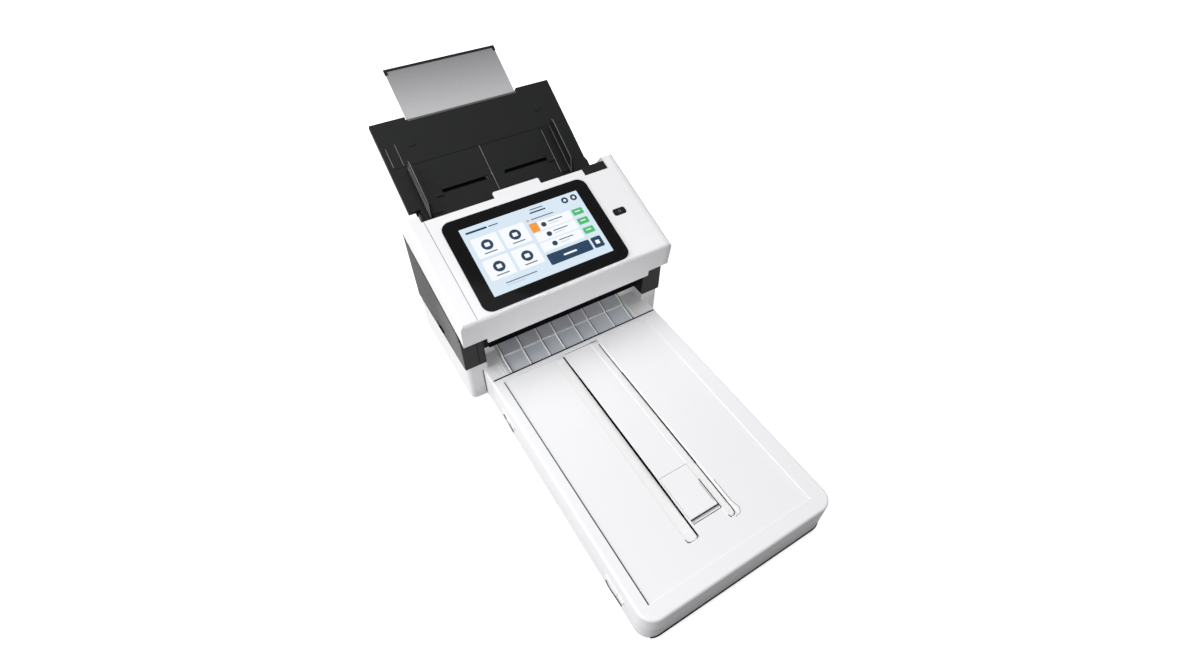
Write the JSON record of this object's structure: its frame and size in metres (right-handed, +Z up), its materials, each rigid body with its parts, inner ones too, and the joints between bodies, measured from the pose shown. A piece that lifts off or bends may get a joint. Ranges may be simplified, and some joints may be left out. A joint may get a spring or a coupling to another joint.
{
  "type": "document scanner",
  "caption": "Desktop document scanner: sheet feeder with a touch screen on a hinged cover, folding input tray and ribbed exit ramp, docked to a flatbed whose lid is the output tray.",
  "frame": {"origin": "middle of the footprint's bounding box, on the desk under the feet", "axes": "+Z up; -Y towards the user, out of the flatbed's front edge; +X to the user's right"},
  "size_m": [0.316, 0.7214, 0.3285],
  "materials": {
    "white_plastic": "fine satin white, light texture",
    "dark_plastic": "fine matt charcoal",
    "black_plastic": "satin black with a fine texture",
    "grey_plastic": "satin light grey",
    "smoke_plastic": "grey, smooth",
    "black_gloss": "polished black",
    "glass": "clear, polished",
    "steel": "plain bright steel",
    "plated_steel": "dull zinc grey",
    "rubber": "matt black",
    "roller_rubber": "matt dark grey",
    "circuit_board": "green solder mask",
    "display_metal": "bare folded sheet",
    "mat_white": "matt white foam sheet"
  },
  "bodies": {
    "scanner_body": {"dock_base": "white_plastic", "dock_plate": "plated_steel", "rubber_feet": "rubber", "foot_screws": "steel", "side_panel_left": "dark_plastic", "side_panel_right": "dark_plastic", "chassis": "black_plastic", "rear_cover": "white_plastic", "main_board": "circuit_board", "power_socket": "black_plastic", "data_sockets": "steel", "lower_guide": "black_plastic", "lower_scan_bar": "black_plastic", "lower_scan_glass": "glass", "drive_motor": "plated_steel", "drive_belt": "rubber", "tray_bracket": "black_plastic", "hinge_pins": "steel", "flatbed_base": "white_plastic", "flatbed_frame": "white_plastic", "flatbed_glass": "glass", "guide_rod": "steel", "carriage_belt": "rubber", "carriage_motor": "plated_steel", "rear_deck": "white_plastic", "exit_ramp": "white_plastic"},
    "cover": {"cover_shell": "white_plastic", "screen_glass": "black_gloss", "display_module": "display_metal", "display_board": "circuit_board", "upper_guide": "black_plastic", "upper_scan_bar": "black_plastic", "upper_scan_glass": "glass"},
    "power_button": {"power_button": "black_gloss"},
    "release_lever": {"release_lever": "black_plastic"},
    "feed_drive": {"feed_roller": "grey_plastic", "feed_tyres": "roller_rubber"},
    "transport_drive": {"transport_roller": "grey_plastic", "transport_tyres": "roller_rubber"},
    "exit_drive": {"exit_roller": "grey_plastic", "exit_tyres": "roller_rubber"},
    "motor_pulley": {"motor_pulley": "grey_plastic"},
    "separation_roller": {"separation_roller": "roller_rubber"},
    "transport_pinch": {"transport_pinch_roller": "grey_plastic"},
    "exit_pinch": {"exit_pinch_roller": "grey_plastic"},
    "tray": {"input_tray": "black_plastic", "tray_upper": "black_plastic", "tray_back": "black_plastic"},
    "paper_guide_left": {"paper_guide_left": "black_plastic"},
    "paper_guide_right": {"paper_guide_right": "black_plastic"},
    "guide_pinion": {"guide_pinion": "grey_plastic"},
    "extension": {"extension_plate": "smoke_plastic", "extension_cap": "black_plastic"},
    "scan_carriage": {"scan_carriage": "black_plastic"},
    "carriage_drive_pulley": {"carriage_drive_pulley": "grey_plastic"},
    "carriage_idler_pulley": {"carriage_idler_pulley": "grey_plastic"},
    "lid": {"lid_shell": "white_plastic", "lid_liner": "white_plastic", "document_mat": "mat_white"},
    "stop_flap": {"stop_flap": "white_plastic"}
  },
  "joints": [
    {"name": "cover_hinge", "type": "hinge", "parent": "scanner_body", "child": "cover", "pos_m": [0, 0.04233, 0.126], "axis": [-1, 0, 0], "range_deg": [-58, 0]},
    {"name": "power_press", "type": "slide", "parent": "cover", "child": "power_button", "axis": [0, 0.3381, -0.9411], "range_m": [0, 0.0008], "stiffness_N_per_m": 900, "springref_m": -0.0005},
    {"name": "release_slide", "type": "slide", "parent": "scanner_body", "child": "release_lever", "axis": [0, 1, 0], "range_m": [0, 0.008]},
    {"name": "transport_spin", "type": "hinge", "parent": "scanner_body", "child": "transport_drive", "pos_m": [-0.014, 0.12472, 0.16463], "axis": [1, 0, 0], "continuous": true},
    {"name": "feed_spin", "type": "hinge", "parent": "scanner_body", "child": "feed_drive", "pos_m": [-0.014, 0.15138, 0.18234], "axis": [1, 0, 0], "continuous": true},
    {"name": "exit_spin", "type": "hinge", "parent": "scanner_body", "child": "exit_drive", "pos_m": [-0.014, 0.06475, 0.12479], "axis": [1, 0, 0], "continuous": true},
    {"name": "motor_spin", "type": "hinge", "parent": "scanner_body", "child": "motor_pulley", "pos_m": [0.145, 0.10533, 0.105], "axis": [1, 0, 0], "continuous": true},
    {"name": "separation_spin", "type": "hinge", "parent": "cover", "child": "separation_roller", "pos_m": [-0.014, 0.14236, 0.19592], "axis": [1, 0, 0], "continuous": true},
    {"name": "transport_pinch_spin", "type": "hinge", "parent": "cover", "child": "transport_pinch", "pos_m": [-0.014, 0.1157, 0.17821], "axis": [1, 0, 0], "continuous": true},
    {"name": "exit_pinch_spin", "type": "hinge", "parent": "cover", "child": "exit_pinch", "pos_m": [-0.014, 0.05573, 0.13837], "axis": [1, 0, 0], "continuous": true},
    {"name": "tray_fold", "type": "hinge", "parent": "scanner_body", "child": "tray", "pos_m": [-0.014, 0.1863, 0.20567], "axis": [1, 0, 0], "range_deg": [0, 35]},
    {"name": "guide_left_slide", "type": "slide", "parent": "tray", "child": "paper_guide_left", "axis": [1, 0, 0], "range_m": [0, 0.054]},
    {"name": "guide_right_slide", "type": "slide", "parent": "tray", "child": "paper_guide_right", "axis": [1, 0, 0], "range_m": [-0.054, 0]},
    {"name": "guide_pinion_spin", "type": "hinge", "parent": "tray", "child": "guide_pinion", "pos_m": [-0.014, 0.20464, 0.22325], "axis": [0, -0.5534, 0.8329], "range_deg": [0, 222]},
    {"name": "extension_slide", "type": "slide", "parent": "tray", "child": "extension", "axis": [0, 0.8329, 0.5534], "range_m": [-0.058, 0]},
    {"name": "carriage_slide", "type": "slide", "parent": "scanner_body", "child": "scan_carriage", "axis": [0, -1, 0], "range_m": [0, 0.3]},
    {"name": "carriage_drive_spin", "type": "hinge", "parent": "scanner_body", "child": "carriage_drive_pulley", "pos_m": [0.123, 0.01933, 0.013], "axis": [0, 0, 1], "range_deg": [0, 3200]},
    {"name": "carriage_idler_spin", "type": "hinge", "parent": "scanner_body", "child": "carriage_idler_pulley", "pos_m": [0.123, -0.34667, 0.013], "axis": [0, 0, 1], "range_deg": [0, 3200]},
    {"name": "lid_hinge", "type": "hinge", "parent": "scanner_body", "child": "lid", "pos_m": [-0.133, -0.17117, 0.0278], "axis": [0, -1, 0], "range_deg": [0, 80]},
    {"name": "stop_flap_hinge", "type": "hinge", "parent": "lid", "child": "stop_flap", "pos_m": [-0.005, -0.28837, 0.0525], "axis": [1, 0, 0], "range_deg": [0, 85]}
  ],
  "couplings": [
    {"joint": "feed_spin", "follows": "transport_spin", "ratio": 1},
    {"joint": "exit_spin", "follows": "transport_spin", "ratio": 1},
    {"joint": "motor_spin", "follows": "transport_spin", "ratio": 1},
    {"joint": "guide_right_slide", "follows": "guide_left_slide", "ratio": -1},
    {"joint": "guide_pinion_spin", "follows": "guide_left_slide", "rad_per_m": 71.429},
    {"joint": "carriage_drive_spin", "follows": "carriage_slide", "rad_per_m": 183.49},
    {"joint": "carriage_idler_spin", "follows": "carriage_slide", "rad_per_m": 183.49}
  ]
}
